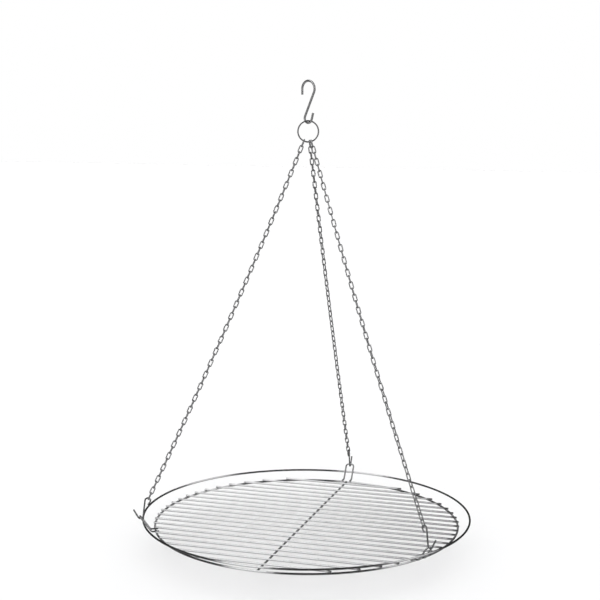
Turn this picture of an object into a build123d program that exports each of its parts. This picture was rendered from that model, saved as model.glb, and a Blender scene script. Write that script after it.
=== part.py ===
from build123d import *
from math import asin, atan2, cos, degrees, radians, sin, sqrt, tan
import os

# A round cooking grate of welded, chromed wire, hung by three chains from a ring and one
# S-hook. Millimetres. The origin is the point where the top hook bears on its support, at
# the underside of its upper bend. +Z is up, the cooking bars run along X.

# ---- driving dimensions: the grate -------------------------------------------------
rim_radius = 250.0          # centre line of the upper, outer ring
rim_wire = 3.0
rim_rise = 12.8             # from the base ring's centre line up to the rim's
base_radius = 232.0         # centre line of the lower ring, which carries the bars
base_wire = 3.0
base_level = -670.0         # height of the base ring's centre line
bar_count = 21
bar_pitch = 21.0
bar_wire = 3.0
bar_overhang = 2.0          # each bar's end stands this far out over the base ring
cross_bar_wire = 3.0
weld_sink = 0.1             # welded wires sink this far into each other

# ---- driving dimensions: the three bails ---------------------------------------------
bail_azimuth = {"left": 210.0, "back": 90.0, "right": 330.0}
bail_wire = 2.5
bail_top_radius = 255.5     # centre line of the bail's top wire, from the grate's middle
bail_top_rise = 25.0        # and above the base ring's centre line
bail_leg_spacing = 13.0
bail_leg_start = 228.0      # inner end of each leg, on the base ring
bail_foot_bend = 3.5        # centre-line radii of its bends
bail_corner_bend = 4.5

# ---- driving dimensions: hooks, ring and chains --------------------------------------
top_hook_wire = 3.4
top_hook_bends = (6.8, 11.8)     # centre-line radius of the lower and the upper bend
top_hook_centres = 42.9          # between the middles of the two bends
top_hook_tails = (10.0, 8.5)     # straight ends after the lower and the upper bend
top_hook_flare = (16.0, 0.0)     # lower end leans out, upper end leans in, degrees
top_hook_turn = -23.0            # its plane, turned about Z from the XZ plane
ring_radius = 15.5               # centre line
ring_wire = 2.2
ring_turn = 29.0                 # its plane, turned about Z from the XZ plane
grate_hook_wire = 2.4
grate_hook_bends = (4.0, 4.1)
grate_hook_centres = 25.3
grate_hook_tails = (14.0, 5.0)
grate_hook_flare = (55.0, 13.0)
chain_ring_angle = {"left": -25.0, "back": 8.5, "right": 18.0}   # seat on the ring, from its lowest point
link_wire = 1.7
link_width = 6.7                 # over the outside
link_count = 61                  # in each chain, all of the same links
chain_sag = 4.5                  # at the middle of each chain, square to its straight line
link_gap = 0.10                  # between one link's wire and the next
running_gap = 0.25               # between wires that hang in each other on different bodies


def polar(radius, azimuth, height=0.0):
    """A point given by its distance from the Z axis, its azimuth in degrees and its height."""
    return Vector(radius * cos(radians(azimuth)), radius * sin(radians(azimuth)), height)


def bent_wire(path, diameter):
    """A round wire along a path."""
    section = Plane(origin=path @ 0, z_dir=path % 0) * Circle(diameter / 2)
    return sweep(section, path=path)


def wire_ring(radius, diameter, height):
    """A flat-lying closed ring of round wire."""
    return Pos(0, 0, height) * Torus(radius, diameter / 2)


def straight_wire(length, diameter, middle, azimuth):
    """A level straight wire, its middle at a point."""
    return Pos(middle) * Rot(0, 0, azimuth) * Rot(0, 90, 0) * Cylinder(diameter / 2, length)


# ---- the welded grate ------------------------------------------------------------------
def rim_ring():
    return wire_ring(rim_radius, rim_wire, base_level + rim_rise)


def base_ring():
    return wire_ring(base_radius, base_wire, base_level)


def cross_bar():
    """The one wire under the bars, butted to the base ring's inner side at both ends."""
    length = 2 * (base_radius - base_wire / 2) + base_wire / 3
    return straight_wire(length, cross_bar_wire, Vector(0, 0, base_level), 90)


def cooking_bar(index):
    """One bar, laid on the base ring and the cross bar."""
    offset = (index - (bar_count - 1) / 2) * bar_pitch
    half_length = sqrt(base_radius**2 - offset**2) + bar_overhang
    height = base_level + (base_wire + bar_wire) / 2 - weld_sink
    return straight_wire(2 * half_length, bar_wire, Vector(0, offset, height), 0)


def bail_lean():
    """The bail's lean from the vertical, degrees: its legs pass inside the rim and touch it."""
    out = bail_top_radius - rim_radius
    up = bail_top_rise - rim_rise
    contact = (bail_wire + rim_wire) / 2 - weld_sink
    return degrees(atan2(out, up) + asin(contact / sqrt(out**2 + up**2)))


def bail(azimuth):
    """An upside-down U: level legs welded on the base ring, then up past the rim to the top."""
    leg_height = base_level + (base_wire + bail_wire) / 2 - weld_sink
    top_height = base_level + bail_top_rise
    foot_radius = bail_top_radius - (top_height - leg_height) * tan(radians(bail_lean()))
    half = bail_leg_spacing / 2
    path = FilletPolyline(
        (bail_leg_start, -half, leg_height),
        (foot_radius, -half, leg_height),
        (bail_top_radius, -half, top_height),
        (bail_top_radius, half, top_height),
        (foot_radius, half, leg_height),
        (bail_leg_start, half, leg_height),
        radius=[bail_foot_bend, bail_corner_bend, bail_corner_bend, bail_foot_bend],
    )
    return Rot(0, 0, azimuth) * bent_wire(path, bail_wire)


# ---- the hooks and the ring ----------------------------------------------------------------
def s_hook(wire, bends, centres, tails, flare):
    """An S-hook in the XZ plane, the middle of its lower bend at the origin, the upper one above.

    The shank is the inner tangent of the two bends. It meets the lower bend on its -X side.
    """
    lower, upper = bends
    shank_lean = degrees(asin((lower + upper) / centres))
    lower_end = 360 - flare[0]
    upper_end = 180 + flare[1]

    def on_bend(middle_height, radius, angle):
        return Vector(radius * cos(radians(angle)), middle_height + radius * sin(radians(angle)))

    def tail_end(start, angle, length):
        return start + Vector(-sin(radians(angle)), cos(radians(angle))) * length

    lower_bend_end = on_bend(0, lower, lower_end)
    upper_bend_end = on_bend(centres, upper, upper_end)
    lower_shank = on_bend(0, lower, 180 - shank_lean)
    upper_shank = on_bend(centres, upper, -shank_lean)
    edges = [
        Line(tail_end(lower_bend_end, lower_end, tails[0]), lower_bend_end),
        CenterArc((0, 0), lower, lower_end, (180 - shank_lean) - lower_end),
        Line(lower_shank, upper_shank),
        CenterArc((0, centres), upper, -shank_lean, upper_end + shank_lean),
        Line(upper_bend_end, tail_end(upper_bend_end, upper_end, tails[1])),
    ]
    return Rot(90, 0, 0) * bent_wire(Wire(edges), wire)


def top_hook():
    lower_middle = top_hook_wire / 2 - top_hook_bends[1] - top_hook_centres
    hook = s_hook(top_hook_wire, top_hook_bends, top_hook_centres, top_hook_tails, top_hook_flare)
    return Pos(0, 0, lower_middle) * Rot(0, 0, top_hook_turn) * hook


def ring_height():
    """Height of the ring's centre: its top wire lies in the top hook's lower bend."""
    bend_bottom = top_hook_wire / 2 - top_hook_bends[1] - top_hook_centres - top_hook_bends[0]
    return bend_bottom + (top_hook_wire + ring_wire) / 2 + running_gap - ring_radius


def top_ring():
    return Pos(0, 0, ring_height()) * Rot(0, 0, ring_turn) * Rot(90, 0, 0) * Torus(ring_radius, ring_wire / 2)


def ring_seat(side):
    """The point on the ring's centre line where a chain hangs."""
    angle = chain_ring_angle[side]
    out = ring_radius * sin(radians(angle))
    return polar(out, ring_turn, ring_height() - ring_radius * cos(radians(angle)))


def bail_top(side):
    return polar(bail_top_radius, bail_azimuth[side], base_level + bail_top_rise)


def hook_lean(side):
    """Each grate hook lies in line with the pull of its chain, which sags a little below the
    straight line from the bail to the ring. Degrees from the vertical, inwards."""
    run = ring_seat(side) - bail_top(side)
    straight_lean = atan2(bail_top_radius - ring_seat(side).dot(polar(1, bail_azimuth[side])), run.Z)
    return degrees(straight_lean + 4 * chain_sag / run.length)


def hook_offsets():
    """How far the bail's wire and the last link's wire lie from the middles of the two bends."""
    in_lower = grate_hook_bends[0] - (grate_hook_wire + bail_wire) / 2 - running_gap
    in_upper = grate_hook_bends[1] - (grate_hook_wire + link_wire) / 2 - running_gap
    return in_lower, in_upper


def hook_axis(side):
    """The direction of a grate hook's pull, up along its chain."""
    lean = hook_lean(side)
    return polar(-sin(radians(lean)), bail_azimuth[side], cos(radians(lean)))


def grate_hook(side):
    lower_middle = bail_top(side) + hook_axis(side) * hook_offsets()[0]
    hook = s_hook(grate_hook_wire, grate_hook_bends, grate_hook_centres, grate_hook_tails, grate_hook_flare)
    return Pos(lower_middle) * Rot(0, 0, bail_azimuth[side]) * Rot(0, -hook_lean(side), 0) * hook


def link_seat(side):
    """The middle of the last link's end wire, hanging in the grate hook's upper bend."""
    offsets = hook_offsets()
    return bail_top(side) + hook_axis(side) * (offsets[0] + grate_hook_centres + offsets[1])


# ---- the chains --------------------------------------------------------------------------
def chain_ends(side):
    """The inner ends of a chain's first and last link."""
    slope = (link_seat(side) - ring_seat(side)).normalized()
    first = ring_seat(side) - slope * (ring_wire / 2 + running_gap)
    last = link_seat(side) - slope * (link_wire / 2)
    return first, last


def chain_point(side, part):
    """A point of a chain's slightly sagging line, part = 0 at the ring and 1 at the hook."""
    first, last = chain_ends(side)
    run = last - first
    sideways = run.cross(Vector(0, 0, 1)).normalized()
    down = run.cross(sideways).normalized()
    if down.Z > 0:
        down = -down
    return first + run * part + down * (4 * chain_sag * part * (1 - part))


def link_length():
    """Inner length of every link: the longest chain's pitch, and the gap that keeps links loose."""
    longest = 0
    for side in bail_azimuth:
        first, last = chain_ends(side)
        longest = max(longest, (last - first).length + 8 * chain_sag**2 / (3 * (last - first).length))
    return longest / link_count + link_gap


def chain_link():
    """One welded link in the XY plane, its long way along X, centred on the origin."""
    bend = (link_width - link_wire) / 2
    straight = link_length() + link_wire - 2 * bend
    half = straight / 2
    edges = [
        Line((-half, -bend), (half, -bend)),
        CenterArc((half, 0), bend, -90, 180),
        Line((half, bend), (-half, bend)),
        CenterArc((-half, 0), bend, 90, 180),
    ]
    return bent_wire(Wire(edges), link_wire)


def across(vector, direction):
    """The part of a vector square to a direction, at unit length."""
    return (vector - direction * vector.dot(direction)).normalized()


def link_places(side):
    """A plane for each link: origin its middle, X along the chain, Z square to the link.

    The ring's wire passes through the first link and the hook's through the last. The links
    between turn by a quarter each, and share out the twist that is left.
    """
    azimuth = bail_azimuth[side]
    points = [chain_point(side, step / link_count) for step in range(link_count + 1)]
    directions = [(points[step + 1] - points[step]).normalized() for step in range(link_count)]
    seat_angle = chain_ring_angle[side]
    ring_way = polar(cos(radians(seat_angle)), ring_turn, sin(radians(seat_angle)))
    first_normal = across(ring_way, directions[0])
    last_normal = across(polar(1, azimuth), directions[-1])
    turned = across(first_normal, directions[-1])
    twist = degrees(atan2(turned.cross(last_normal).dot(directions[-1]), turned.dot(last_normal)))
    turns_between = 90 * (link_count - 1)
    twist = (twist - turns_between + 90) % 180 - 90
    places = []
    for step in range(link_count):
        base = across(first_normal, directions[step])
        turn = 90 * step + twist * step / (link_count - 1)
        normal = base.rotate(Axis((0, 0, 0), directions[step]), turn)
        middle = (points[step] + points[step + 1]) / 2
        places.append(Plane(origin=middle, x_dir=directions[step], z_dir=normal))
    return places


def chain_nodes(side):
    """A chain as three nodes: its top link, its run of middle links and its last link."""
    link = chain_link()
    links = [place.location * link for place in link_places(side)]
    return {
        f"top_link_{side}": links[0],
        f"chain_{side}": Compound(links[1:-1]),
        f"end_link_{side}": links[-1],
    }


def all_nodes():
    nodes = {"top_hook": top_hook(), "top_ring": top_ring()}
    for side in bail_azimuth:
        nodes.update(chain_nodes(side))
        nodes[f"hook_{side}"] = grate_hook(side)
        nodes[f"bail_{side}"] = bail(bail_azimuth[side])
    nodes["rim_ring"] = rim_ring()
    nodes["base_ring"] = base_ring()
    nodes["cross_bar"] = cross_bar()
    for index in range(bar_count):
        nodes[f"grate_bar_{index + 1:02d}"] = cooking_bar(index)
    return nodes


os.makedirs("parts", exist_ok=True)
for name, shape in all_nodes().items():
    export_step(shape, f"parts/{name}.step")
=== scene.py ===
import heapq
import math

import bpy
import numpy as np
from mathutils import Matrix, Vector


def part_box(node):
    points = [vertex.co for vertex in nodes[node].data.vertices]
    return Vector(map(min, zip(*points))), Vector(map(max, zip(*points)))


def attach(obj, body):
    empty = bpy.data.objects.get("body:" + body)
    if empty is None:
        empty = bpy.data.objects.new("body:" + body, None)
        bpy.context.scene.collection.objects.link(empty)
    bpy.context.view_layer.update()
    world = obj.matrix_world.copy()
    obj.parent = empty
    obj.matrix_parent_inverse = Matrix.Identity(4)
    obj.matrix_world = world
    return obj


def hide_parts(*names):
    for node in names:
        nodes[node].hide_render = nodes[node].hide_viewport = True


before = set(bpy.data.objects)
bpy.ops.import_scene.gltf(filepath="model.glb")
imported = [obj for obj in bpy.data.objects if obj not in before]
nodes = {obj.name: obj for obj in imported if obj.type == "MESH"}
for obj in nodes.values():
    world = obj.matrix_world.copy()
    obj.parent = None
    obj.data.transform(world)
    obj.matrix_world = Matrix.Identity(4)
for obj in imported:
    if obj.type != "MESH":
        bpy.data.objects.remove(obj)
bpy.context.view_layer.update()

# The looks of a hanging cooking grate of chromed wire. Metres, in the CAD frame. Every wire
# is built anew round the centre line of its CAD node, with welds, cut ends and wear.

draws = np.random.default_rng(7)

SIDES = ("left", "back", "right")
MM = 0.001

# ---- wires -------------------------------------------------------------------------------
ROUND_SIDES = 20            # faces round a wire
LINK_SIDES = 14
CUT_EDGE = 0.22             # rounding of a cut end's edge, as part of the wire's radius
SEAM_SWELL = 0.10           # how much a butt weld swells the wire, as part of its radius
SEAM_WIDTH = 0.9            # half width of that swelling, in wire radii
CLUSTER = 0.1 * MM          # rings' centres closer than this are one
RING_POINTS = 5             # fewest mesh vertices that make a cross-section ring


def surface_points(mesh):
    """A CAD mesh's vertices and their surface normals."""
    points = np.zeros(len(mesh.vertices) * 3)
    mesh.vertices.foreach_get("co", points)
    corner_normals = np.zeros(len(mesh.loops) * 3)
    mesh.corner_normals.foreach_get("vector", corner_normals)
    corner_vertices = np.zeros(len(mesh.loops), int)
    mesh.loops.foreach_get("vertex_index", corner_vertices)
    normals = np.zeros((len(mesh.vertices), 3))
    normals[corner_vertices] = corner_normals.reshape(-1, 3)
    return points.reshape(-1, 3), normals


def rough_radius(mesh, points):
    """A wire's radius from its volume and area: every round wire has area = 2 volume / radius."""
    mesh.calc_loop_triangles()
    corners = np.zeros(len(mesh.loop_triangles) * 3, int)
    mesh.loop_triangles.foreach_get("vertices", corners)
    a, b, c = (points[corners.reshape(-1, 3)[:, k]] for k in range(3))
    crossed = np.cross(b - a, c - a)
    area = np.linalg.norm(crossed, axis=1).sum() / 2
    volume = abs((a * crossed).sum()) / 6
    return 2 * volume / area


def centre_lines(name, closed):
    """The wires of a CAD node: for each, its centre line's points in order, and its radius."""
    mesh = nodes[name].data
    points, normals = surface_points(mesh)
    guess = rough_radius(mesh, points)
    inward = points - guess * normals
    keys = np.round(inward / CLUSTER).astype(np.int64)
    _, cluster, count = np.unique(keys, axis=0, return_inverse=True, return_counts=True)
    cluster = cluster.ravel()
    centres = np.stack([np.bincount(cluster, inward[:, k]) / count for k in range(3)], 1)
    spread = np.linalg.norm(points - centres[cluster], axis=1)
    radius = float(np.median(spread[count[cluster] >= RING_POINTS]))

    edges = np.zeros(len(mesh.edges) * 2, int)
    mesh.edges.foreach_get("vertices", edges)
    joined = cluster[edges.reshape(-1, 2)]
    real = (count[joined] >= RING_POINTS).all(1) & (joined[:, 0] != joined[:, 1])
    pairs = np.unique(np.sort(joined[real], 1), axis=0)
    beside = {}
    for first, second in pairs.tolist():
        beside.setdefault(first, []).append(second)
        beside.setdefault(second, []).append(first)

    lines = []
    left = set(beside)
    while left:
        group = along_from(min(left), beside, centres)
        left -= set(group)
        if closed:
            line = in_circle(centres[sorted(group)])
        else:
            far_end = max(group, key=group.get)
            distance = along_from(far_end, beside, centres)
            line = centres[sorted(distance, key=distance.get)]
        lines.append(without_doubles(line, closed))
    return lines, radius


def along_from(start, beside, centres):
    """Distance from one ring's centre to every other that it joins to, along the wire."""
    distance = {}
    queue = [(0.0, start)]
    while queue:
        so_far, here = heapq.heappop(queue)
        if here in distance:
            continue
        distance[here] = so_far
        for there in beside[here]:
            if there not in distance:
                step = float(np.linalg.norm(centres[there] - centres[here]))
                heapq.heappush(queue, (so_far + step, there))
    return distance


def in_circle(points):
    """A flat closed loop's points, in order round its middle."""
    middle = (points.min(0) + points.max(0)) / 2
    _, _, axes = np.linalg.svd(points - middle, full_matrices=False)
    flat = (points - middle) @ axes[:2].T
    return points[np.argsort(np.arctan2(flat[:, 1], flat[:, 0]), kind="stable")]


def without_doubles(line, closed):
    """The line with points that lie almost on the one before left out."""
    kept = [line[0]]
    for point in line[1:]:
        if np.linalg.norm(point - kept[-1]) > 1.5 * CLUSTER:
            kept.append(point)
    if closed and np.linalg.norm(kept[0] - kept[-1]) < 1.5 * CLUSTER:
        kept.pop()
    return np.array(kept)


def filled_in(line, closed, step):
    """The line with points added on stretches longer than a step."""
    ends = np.vstack([line, line[:1]]) if closed else line
    filled = []
    for start, end in zip(ends[:-1], ends[1:]):
        pieces = max(1, math.ceil(np.linalg.norm(end - start) / step))
        filled += [start + (end - start) * k / pieces for k in range(pieces)]
    if not closed:
        filled.append(ends[-1])
    return np.array(filled)


def unit(vectors):
    return vectors / np.linalg.norm(vectors, axis=-1, keepdims=True)


def tube(line, radius, closed, sides, seam=None):
    """Vertices, faces, UVs and worn and seam values of a round wire along a centre line.

    U goes once round the wire and V is the length along it in metres. The inner side of a
    tight bend is worn. A closed wire has a butt weld, seam, that far along it.
    """
    count = len(line)
    if closed:
        ahead = np.roll(line, -1, 0) - line
        tangents = unit(unit(ahead) + unit(np.roll(ahead, 1, 0)))
        turn = unit(ahead) - unit(np.roll(ahead, 1, 0))
        reach = (np.linalg.norm(ahead, axis=1) + np.linalg.norm(np.roll(ahead, 1, 0), axis=1)) / 2
    else:
        ahead = np.diff(line, axis=0)
        ways = unit(ahead)
        tangents = unit(np.vstack([ways[:1], ways[1:] + ways[:-1], ways[-1:]]))
        turn = np.vstack([np.zeros(3), ways[1:] - ways[:-1], np.zeros(3)])
        lengths = np.linalg.norm(ahead, axis=1)
        reach = np.concatenate([lengths[:1], (lengths[1:] + lengths[:-1]) / 2, lengths[-1:]])
    bend = turn / reach[:, None]
    steps = np.linalg.norm(np.diff(line, axis=0), axis=1)
    along = np.concatenate([[0.0], np.cumsum(steps)])
    total = along[-1] + (np.linalg.norm(line[0] - line[-1]) if closed else 0.0)

    side = np.cross(tangents[0], (0.31, 0.22, 0.93))
    if closed:
        middle = line.mean(0)
        side = np.cross(tangents[0], line[0] - middle)
    frames = []
    for way in tangents:
        side = unit(side - way * side.dot(way))
        frames.append((side, np.cross(way, side)))

    radii = np.full(count, radius)
    weld = np.zeros(count)
    if seam is not None:
        away = np.abs((along - seam + total / 2) % total - total / 2)
        weld = np.exp(-((away / (SEAM_WIDTH * radius)) ** 2))
        radii = radius * (1 + SEAM_SWELL * weld)

    rings = [(line[k], frames[k], radii[k], along[k], bend[k], weld[k]) for k in range(count)]
    if not closed:
        rings = cut_end(rings[0], -tangents[0], radius)[::-1] + rings[1:-1] + cut_end(
            rings[-1], tangents[-1], radius)
    angles = 2 * math.pi * np.arange(sides) / sides
    vertices, worn, welded = [], [], []
    for centre, (across, over), size, _, bent, hot in rings:
        outward = np.outer(np.cos(angles), across) + np.outer(np.sin(angles), over)
        vertices.append(centre + size * outward)
        worn.append(np.clip(outward @ bent * 4 * MM, 0, 1))
        welded.append(np.full(sides, hot))
    faces, uvs = [], []
    spans = len(rings) if closed else len(rings) - 1
    for k in range(spans):
        near, far = k, (k + 1) % len(rings)
        v0 = rings[near][3]
        v1 = rings[far][3] if far else total
        for j in range(sides):
            n = (j + 1) % sides
            faces.append((near * sides + j, near * sides + n, far * sides + n, far * sides + j))
            u0, u1 = j / sides, (j + 1) / sides
            uvs.append(((u0, v0), (u1, v0), (u1, v1), (u0, v1)))
    if not closed:
        for ring, order in ((0, -1), (len(rings) - 1, 1)):
            faces.append(tuple(ring * sides + j for j in range(sides))[::order])
            uvs.append(tuple((j / sides, rings[ring][3]) for j in range(sides))[::order])
    return np.vstack(vertices), faces, uvs, np.concatenate(worn), np.concatenate(welded)


def cut_end(ring, out, radius):
    """The rings that turn a wire's last ring into a sheared end with a rounded edge."""
    centre, frame_here, _, length, bend, hot = ring
    edge = CUT_EDGE * radius
    made = []
    for angle in (0, 22.5, 45, 67.5, 90):
        part = math.radians(angle)
        size = radius - edge * (1 - math.cos(part))
        place = centre + out * edge * (math.sin(part) - 1)
        made.append((place, frame_here, size, length, bend, hot))
    made.append((centre, frame_here, radius * 0.45, length, bend, hot))
    return made


def piece(name, parts, body, material, replaced=()):
    """One object from several tubes or beads, riding on a body."""
    vertices, faces, uvs, worn, welded = [], [], [], [], []
    base = 0
    for part_vertices, part_faces, part_uvs, part_worn, part_welded in parts:
        vertices.append(part_vertices)
        faces += [tuple(base + k for k in face) for face in part_faces]
        uvs += part_uvs
        worn.append(part_worn)
        welded.append(part_welded)
        base += len(part_vertices)
    mesh = bpy.data.meshes.new(name)
    mesh.from_pydata(np.vstack(vertices).tolist(), [], faces)
    layer = mesh.uv_layers.new(name="wire")
    layer.data.foreach_set("uv", np.array([corner for face in uvs for corner in face]).ravel())
    for label, values in (("worn", worn), ("welded", welded)):
        attribute = mesh.attributes.new(label, "FLOAT", "POINT")
        attribute.data.foreach_set("value", np.concatenate(values))
    mesh.polygons.foreach_set("use_smooth", [True] * len(mesh.polygons))
    mesh.update()
    mesh.materials.append(material)
    made = bpy.data.objects.new(name, mesh)
    bpy.context.scene.collection.objects.link(made)
    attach(made, body)
    if replaced:
        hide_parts(*replaced)
    return made


# ---- welds ---------------------------------------------------------------------------------
BEAD_ROUND = 18             # points round a bead
BEAD_RISE = 7               # and rings from its bottom to its top
BAR_BEAD = (1.25 * MM, 0.5 * MM)    # each bead's width and thickness, both from its middle
CROSS_END_BEAD = (1.7 * MM, 0.7 * MM)
BAIL_BEAD = (1.2 * MM, 0.5 * MM)
RIM_SEAM = 0.4              # how far along the rim and the base ring their butt welds are
BASE_SEAM = 0.9
RING_SEAM = 20 * MM


def bead(one, other, width, thickness):
    """A little squashed bead of weld between two wires, centred on the line between them.

    It is a lens, wider than thick, whose edge and faces are a little uneven.
    """
    centre = (one + other) / 2
    up = unit(other - one)
    side = unit(np.cross(up, (0.48, 0.36, 0.8)))
    over = np.cross(up, side)
    phases = draws.uniform(0, 2 * math.pi, 3)
    angles = 2 * math.pi * np.arange(BEAD_ROUND) / BEAD_ROUND
    uneven = 1 + 0.06 * np.sin(2 * angles + phases[0]) + 0.04 * np.sin(3 * angles + phases[1])
    vertices = [centre - up * thickness]
    for rise in np.linspace(-90, 90, BEAD_RISE + 2)[1:-1]:
        lean = math.radians(rise)
        reach = width * math.cos(lean) * uneven
        height = thickness * math.sin(lean) * (1 + 0.08 * np.sin(angles + phases[2]))
        ring = np.outer(reach * np.cos(angles), side) + np.outer(reach * np.sin(angles), over)
        vertices += list(centre + ring + np.outer(height, up))
    vertices.append(centre + up * thickness)
    last = len(vertices) - 1
    faces = []
    for j in range(BEAD_ROUND):
        n = (j + 1) % BEAD_ROUND
        faces.append((0, 1 + n, 1 + j))
        for k in range(BEAD_RISE - 1):
            low, high = 1 + k * BEAD_ROUND, 1 + (k + 1) * BEAD_ROUND
            faces.append((low + j, low + n, high + n, high + j))
        top = 1 + (BEAD_RISE - 1) * BEAD_ROUND
        faces.append((top + j, top + n, last))
    vertices = np.array(vertices)
    uvs = [tuple((float(vertices[k] @ side), float(vertices[k] @ over)) for k in face) for face in faces]
    return vertices, faces, uvs, np.zeros(len(vertices)), np.ones(len(vertices))


# ---- materials -------------------------------------------------------------------------------
def add(tree, kind, inputs=None, **settings):
    """A shader node with its settings and its inputs, each a value or another node's output."""
    made = tree.nodes.new("ShaderNode" + kind)
    for key, value in settings.items():
        setattr(made, key, value)
    for socket, value in (inputs or {}).items():
        if isinstance(value, bpy.types.NodeSocket):
            tree.links.new(value, made.inputs[socket])
        else:
            made.inputs[socket].default_value = value
    return made


def calc(tree, operation, first, second=0.0, third=0.0, clamp=False):
    made = add(tree, "Math", {0: first, 1: second, 2: third}, operation=operation, use_clamp=clamp)
    return made.outputs[0]


def noise(tree, where, scale, detail=2.0, roughness=0.5):
    made = add(tree, "TexNoise", {"Vector": where, "Scale": scale, "Detail": detail, "Roughness": roughness})
    return made.outputs["Fac"]


def ranged(tree, value, low, high, to_low=0.0, to_high=1.0, smooth=True):
    made = add(
        tree, "MapRange",
        {"Value": value, "From Min": low, "From Max": high, "To Min": to_low, "To Max": to_high},
        interpolation_type="SMOOTHSTEP" if smooth else "LINEAR",
    )
    return made.outputs["Result"]


def blend_colour(tree, part, first, second):
    """A colour between two, each given as RGB or as another node's output."""
    made = tree.nodes.new("ShaderNodeMix")
    made.data_type = "RGBA"
    for index, value in ((0, part), (6, first), (7, second)):
        if isinstance(value, bpy.types.NodeSocket):
            tree.links.new(value, made.inputs[index])
        else:
            made.inputs[index].default_value = value if index == 0 else (*value, 1.0)
    return made.outputs[2]


def chrome(name, wire_radius, bright, dull, smooth, rough, grime):
    """Chrome plating on drawn wire: lines along the wire, dull patches, pits, rubbed bends.

    bright and dull are the plating's colours, smooth and rough its roughness where clean and
    where dull, and grime is how much of it has dulled.
    """
    material = bpy.data.materials.new(name)
    material.use_nodes = True
    tree = material.node_tree
    tree.nodes.clear()
    place = add(tree, "TexCoord").outputs["Object"]
    worn = add(tree, "Attribute", attribute_name="worn").outputs["Fac"]
    welded = add(tree, "Attribute", attribute_name="welded").outputs["Fac"]

    # the wire's own coordinates: round it and along it, so that the drawn lines follow bends
    wire_uv = add(tree, "SeparateXYZ", {0: add(tree, "UVMap", uv_map="wire").outputs[0]})
    angle = calc(tree, "MULTIPLY", wire_uv.outputs[0], 2 * math.pi)
    round_x = calc(tree, "MULTIPLY", calc(tree, "COSINE", angle), wire_radius)
    round_y = calc(tree, "MULTIPLY", calc(tree, "SINE", angle), wire_radius)
    stretched = calc(tree, "MULTIPLY", wire_uv.outputs[1], 0.02)
    drawn = add(tree, "CombineXYZ", {0: round_x, 1: round_y, 2: stretched}).outputs[0]
    lines = noise(tree, drawn, 9000.0, 3.0, 0.6)

    film = noise(tree, place, 45.0, 3.0, 0.55)
    patches = noise(tree, place, 420.0, 4.0, 0.6)
    peel = noise(tree, place, 1500.0, 2.0, 0.5)
    pits = add(tree, "TexVoronoi", {"Vector": place, "Scale": 1700.0, "Randomness": 1.0}).outputs["Distance"]
    pit_here = ranged(tree, pits, 0.02, 0.16, 1.0, 0.0)
    pit_zone = ranged(tree, patches, 0.56, 0.7)
    pitted = calc(tree, "MULTIPLY", pit_here, pit_zone)

    dirt = ranged(tree, film, 0.62 - grime * 0.3, 0.85 - grime * 0.2)
    spots = ranged(tree, patches, 0.5, 0.72)
    dulled = calc(tree, "MAXIMUM", calc(tree, "MULTIPLY", dirt, spots), calc(tree, "MULTIPLY", welded, 0.7))
    dulled = calc(tree, "MAXIMUM", dulled, calc(tree, "MULTIPLY", pitted, 0.8))
    rubbed = calc(tree, "MULTIPLY", worn, ranged(tree, patches, 0.3, 0.6))

    colour = blend_colour(tree, dulled, bright, dull)
    colour = blend_colour(tree, calc(tree, "MULTIPLY", rubbed, 0.5), colour, tuple(c * 0.72 for c in bright))
    base_rough = calc(tree, "MULTIPLY_ADD", lines, 0.08, smooth - 0.04)
    roughness = add(tree, "Mix", {0: dulled, 2: base_rough, 3: rough}).outputs[0]
    roughness = calc(tree, "MULTIPLY_ADD", rubbed, 0.12, roughness)

    height = calc(tree, "MULTIPLY", lines, 0.35)
    height = calc(tree, "MULTIPLY_ADD", peel, 0.5, height)
    height = calc(tree, "MULTIPLY_ADD", pitted, -1.2, height)
    lumps = calc(tree, "MULTIPLY", noise(tree, place, 2600.0, 2.0, 0.5), welded)
    height = calc(tree, "MULTIPLY_ADD", lumps, 3.0, height)
    bump = add(tree, "Bump", {"Strength": 0.6, "Distance": 0.02 * MM, "Height": height}).outputs[0]

    shader = add(tree, "BsdfPrincipled", {
        "Base Color": colour, "Metallic": 1.0, "Roughness": roughness, "Normal": bump,
    })
    output = add(tree, "OutputMaterial")
    tree.links.new(shader.outputs[0], output.inputs[0])
    return material


# painted light: the top hook's chrome gets a far brighter colour (0.90, against 0.50 to 0.82 on the other
# parts) so that it looks lighter, standing in for light that the studio doesn't put on it
top_hook_painted_light_metal = chrome("top_hook_chrome_painted_light", 1.7 * MM, (0.90, 0.90, 0.91), (0.66, 0.66, 0.67), 0.26, 0.42, 0.5)
hook_metal = chrome("hook_chrome", 1.2 * MM, (0.50, 0.50, 0.51), (0.34, 0.34, 0.35), 0.12, 0.34, 0.6)
ring_metal = chrome("ring_chrome", 1.1 * MM, (0.64, 0.64, 0.65), (0.42, 0.42, 0.43), 0.08, 0.30, 0.4)
chain_metal = chrome("chain_chrome", 0.85 * MM, (0.74, 0.74, 0.75), (0.42, 0.42, 0.43), 0.16, 0.38, 0.7)
grate_metal = chrome("grate_chrome", 1.5 * MM, (0.82, 0.82, 0.83), (0.55, 0.55, 0.56), 0.12, 0.32, 0.5)

# ---- the wires, one piece for each CAD node --------------------------------------------------


def wires(name, body, material, closed=False, sides=ROUND_SIDES, step=4 * MM, seams=None):
    """The piece that stands for a CAD node of one or more wires. Returns their centre lines."""
    lines, radius = centre_lines(name, closed)
    parts = []
    for line in lines:
        line = filled_in(line, closed, step)
        seam = seams(line) if seams else None
        parts.append(tube(line, radius, closed, sides, seam))
    piece(name + "_wire", parts, body, material, (name,))
    return lines, radius


def link_seam(line):
    """A link's weld is in the middle of one of its straight sides."""
    steps = np.linalg.norm(np.roll(line, -1, 0) - line, axis=1)
    along = np.concatenate([[0.0], np.cumsum(steps)[:-1]])
    middle = (line.min(0) + line.max(0)) / 2
    nearest = np.argsort(np.linalg.norm(line - middle, axis=1), kind="stable")
    return along[nearest[0]]


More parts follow.
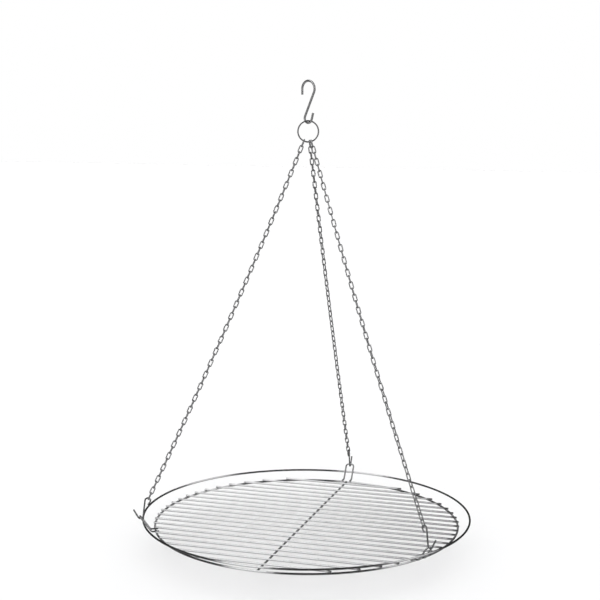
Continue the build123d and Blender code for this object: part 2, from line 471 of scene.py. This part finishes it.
wires("top_hook", "top_hook", top_hook_painted_light_metal, step=2 * MM)
wires("top_ring", "ring", ring_metal, closed=True, step=1 * MM, seams=lambda line: RING_SEAM)
for side in SIDES:
    for name in (f"top_link_{side}", f"chain_{side}", f"end_link_{side}"):
        wires(name, "chain_set", chain_metal, True, LINK_SIDES, 0.5 * MM, link_seam)
    wires(f"hook_{side}", f"hook_{side}", hook_metal, step=2 * MM)

rim_lines, _ = wires("rim_ring", "grate", grate_metal, True, step=3 * MM,
                              seams=lambda line: RIM_SEAM)
base_lines, base_radius = wires("base_ring", "grate", grate_metal, True, step=3 * MM,
                                seams=lambda line: BASE_SEAM)
wires("cross_bar", "grate", grate_metal)
bar_names = sorted(name for name in nodes if name.startswith("grate_bar_"))
bar_lines = {}
for name in bar_names:
    bar_lines[name], _ = wires(name, "grate", grate_metal, step=10 * MM)
bail_lines = {}
for side in SIDES:
    bail_lines[side], _ = wires(f"bail_{side}", "grate", grate_metal, step=2 * MM)

# ---- the welds of the grate --------------------------------------------------------------------
base_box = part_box("base_ring")
base_level = (base_box[0].z + base_box[1].z) / 2
base_reach = base_box[1].x - base_radius


def crossing(bar_line, x):
    """The points of a bar's and a lower wire's centre line where they cross, at that x."""
    bar_y, bar_z = bar_line[0][1], bar_line[0][2]
    return np.array((x, bar_y, bar_z)), np.array((x, bar_y, base_level))


outer_welds, middle_welds = [], []
for name in bar_names:
    line = bar_lines[name][0]
    reach = math.sqrt(base_reach ** 2 - line[0][1] ** 2)
    for x in (-reach, reach):
        outer_welds.append(bead(*crossing(line, x), *BAR_BEAD))
    middle_welds.append(bead(*crossing(line, 0.0), *BAR_BEAD))
for end in (-1, 1):
    inside = np.array((0.0, end * (base_reach - 2 * base_radius), base_level))
    outside = np.array((0.0, end * base_reach, base_level))
    middle_welds.append(bead(inside, outside, *CROSS_END_BEAD))
piece("bar_end_welds", outer_welds, "grate", grate_metal)
piece("cross_bar_welds", middle_welds, "grate", grate_metal)

rim_line = filled_in(rim_lines[0], True, 0.5 * MM)
base_line = filled_in(base_lines[0], True, 0.5 * MM)
for side in SIDES:
    line = filled_in(bail_lines[side][0], False, 0.5 * MM)
    parts = []
    for ring_line in (rim_line, base_line):
        gaps = np.linalg.norm(line[:, None] - ring_line[None], axis=2)
        half = len(line) // 2
        for leg in (slice(0, half), slice(half, None)):
            here, there = np.unravel_index(np.argmin(gaps[leg]), gaps[leg].shape)
            parts.append(bead(line[leg][here], ring_line[there], *BAIL_BEAD))
    piece(f"bail_{side}_welds", parts, "grate", grate_metal)

# ---- floor -----------------------------------------------------------------------------------
FLOOR_DROP = 48 * MM        # how far below the base ring the floor is
FLOOR_HALF = 12.0
floor_level = base_box[0].z - FLOOR_DROP
floor_mesh = bpy.data.meshes.new("floor")
floor_mesh.from_pydata(
    [(x * FLOOR_HALF, y * FLOOR_HALF, floor_level) for x, y in ((-1, -1), (1, -1), (1, 1), (-1, 1))],
    [], [(0, 1, 2, 3)])
floor = bpy.data.objects.new("floor", floor_mesh)
bpy.context.scene.collection.objects.link(floor)
floor_paint = bpy.data.materials.new("floor_paper")
floor_paint.use_nodes = True
paper = floor_paint.node_tree
paper.nodes.clear()
paper_place = add(paper, "TexCoord").outputs["Object"]
paper_tone = ranged(paper, noise(paper, paper_place, 1.3, 2.0), 0.3, 0.7, 0.0, 1.0)
paper_colour = blend_colour(paper, paper_tone, (0.868, 0.868, 0.872), (0.874, 0.874, 0.878))
paper_shader = add(paper, "BsdfPrincipled", {
    "Base Color": paper_colour, "Roughness": 0.9, "Specular IOR Level": 0.0,
})
paper.links.new(paper_shader.outputs[0], add(paper, "OutputMaterial").inputs[0])
floor_mesh.materials.append(floor_paint)
floor.visible_glossy = False

# ---- camera's place, and light -----------------------------------------------------------------
CAMERA_YAW = math.radians(-17.393)
CAMERA_PITCH = math.radians(-8.372)
CAMERA_ROLL = math.radians(0.227)
CAMERA_PLACE = Vector((0.58698, -1.91124, -0.02991))
CAMERA_LENS = 80.562

toward_camera = (-math.sin(CAMERA_YAW), -math.cos(CAMERA_YAW), 0.0)
camera_right = (math.cos(CAMERA_YAW), -math.sin(CAMERA_YAW), 0.0)


# the studio as the wires mirror it: panels, the dark between them, and the ground below
PANELS = (
    (-31, -13, 3, 1.05),
    (29, 49, 4, 0.8),
)
PANEL_VIEWPOINT = 0.951     # how far behind the middle the panels' angles are taken from
WALL_LIGHT = 0.02
GROUND_LIGHT = 0.10
GROUND_PART = 0.33          # of a panel's light, what the ground below it sends on
GROUND_EDGE = (-0.1, 0.05)  # heights of a direction between which ground turns to wall

# the soft light that falls on the floor
DOME = 0.70                 # its even part
KEY_HEIGHT = math.radians(27)   # and the broad part that comes from the front
KEY_WIDTH = 6.0
KEY_STRENGTH = 4.0
WHITE = (1.0, 1.0, 1.0, 1.0)


def studio(tree, panels):
    """A studio's light by direction: tall soft-edged panels round dark walls.

    Each panel is (left edge, right edge, softness, strength), its edges in degrees. The angle
    is 0 at the front of the studio and grows to the right. It is taken from a point behind the
    middle, so that a panel shows along a whole level wire and not only on one side of it.
    """
    way = add(tree, "TexCoord").outputs["Generated"]
    front = add(tree, "VectorMath", {0: way, 1: toward_camera}, operation="DOT_PRODUCT").outputs["Value"]
    right = add(tree, "VectorMath", {0: way, 1: camera_right}, operation="DOT_PRODUCT").outputs["Value"]
    behind = calc(tree, "ADD", front, PANEL_VIEWPOINT)
    angle = calc(tree, "MULTIPLY", calc(tree, "ARCTAN2", right, behind), 180 / math.pi)
    total = 0.0
    for left_edge, right_edge, soft, strength in panels:
        mask = ranged(tree, angle, left_edge - soft, left_edge + soft)
        fall = ranged(tree, angle, right_edge - soft, right_edge + soft, 1.0, 0.0)
        mask = calc(tree, "MULTIPLY", mask, fall)
        total = calc(tree, "MULTIPLY_ADD", mask, strength, total)
    height = add(tree, "SeparateXYZ", {0: way}).outputs[2]
    lowered = ranged(tree, height, *GROUND_EDGE, GROUND_PART, 1.0)
    rest = ranged(tree, height, *GROUND_EDGE, GROUND_LIGHT, WALL_LIGHT)
    return calc(tree, "MULTIPLY_ADD", total, lowered, rest)


world = bpy.data.worlds.new("studio")
world.use_nodes = True
world.cycles.sampling_method = "NONE"   # so that each kind of ray sees only its own light
bpy.context.scene.world = world
sky = world.node_tree
sky.nodes.clear()
room = add(sky, "Background", {"Color": WHITE, "Strength": studio(sky, PANELS)})
key_way = (*(c * math.cos(KEY_HEIGHT) for c in toward_camera[:2]), math.sin(KEY_HEIGHT))
sky_way = add(sky, "TexCoord").outputs["Generated"]
key_part = add(sky, "VectorMath", {0: sky_way, 1: key_way}, operation="DOT_PRODUCT").outputs["Value"]
key = calc(sky, "POWER", calc(sky, "MAXIMUM", key_part, 0.0), KEY_WIDTH)
soft_light = calc(sky, "MULTIPLY_ADD", key, KEY_STRENGTH, DOME)
dome = add(sky, "Background", {"Color": WHITE, "Strength": soft_light})
white = add(sky, "Background", {"Color": WHITE, "Strength": 1.0})
ray = add(sky, "LightPath")
lit = add(sky, "MixShader", {0: ray.outputs["Is Glossy Ray"], 1: dome.outputs[0], 2: room.outputs[0]})
shown = add(sky, "MixShader", {0: ray.outputs["Is Camera Ray"], 1: lit.outputs[0], 2: white.outputs[0]})
sky.links.new(shown.outputs[0], add(sky, "OutputWorld").inputs[0])

# ---- camera --------------------------------------------------------------------------------------
forward = Vector((
    math.sin(CAMERA_YAW) * math.cos(CAMERA_PITCH),
    math.cos(CAMERA_YAW) * math.cos(CAMERA_PITCH),
    math.sin(CAMERA_PITCH),
))
level_right = Vector(camera_right)
level_up = level_right.cross(forward)
right_way = level_right * math.cos(CAMERA_ROLL) + level_up * math.sin(CAMERA_ROLL)
up_way = level_up * math.cos(CAMERA_ROLL) - level_right * math.sin(CAMERA_ROLL)
camera_data = bpy.data.cameras.new("camera")
camera_data.lens = CAMERA_LENS
camera_data.sensor_width = 36.0
camera_data.clip_start = 0.05
camera_data.clip_end = 100.0
camera = bpy.data.objects.new("camera", camera_data)
axes = Matrix((right_way, up_way, -forward)).transposed().to_4x4()
camera.matrix_world = Matrix.Translation(CAMERA_PLACE) @ axes
bpy.context.scene.collection.objects.link(camera)
bpy.context.scene.camera = camera
bpy.context.scene.view_settings.view_transform = "Standard"
